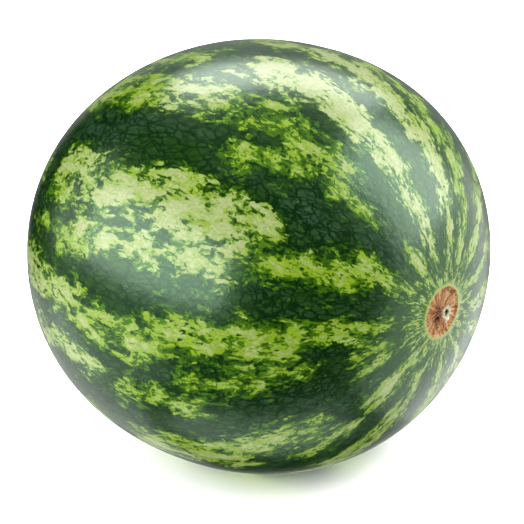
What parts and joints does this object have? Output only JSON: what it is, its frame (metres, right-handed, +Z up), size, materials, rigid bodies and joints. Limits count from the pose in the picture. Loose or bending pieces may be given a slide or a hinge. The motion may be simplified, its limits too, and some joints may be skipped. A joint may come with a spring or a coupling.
{
  "type": "whole watermelon",
  "caption": "Whole striped watermelon lying on its side, nearly round, with a corky blossom scar at one end and a short cut stem in a hollow at the other.",
  "frame": {"origin": "middle of the small flat spot that the fruit rests on, on the supporting surface", "axes": "+Z up, +X along the fruit's long axis towards the blossom scar, +Y to the left when looking along +X"},
  "size_m": [0.2646, 0.2502, 0.2318],
  "materials": {
    "rind": "smooth waxy rind, dark green with ragged light green to cream stripes, soft gloss; corky brown scar at the blossom end",
    "flower_base": "dry, papery, pale cream plant tissue, dark inside",
    "stem": "drying ridged stem, matt olive to brown, with a paler fibrous cut end"
  },
  "bodies": {
    "root": {"fruit": "rind", "dried_flower_base": "flower_base", "cut_stem": "stem"}
  },
  "joints": []
}
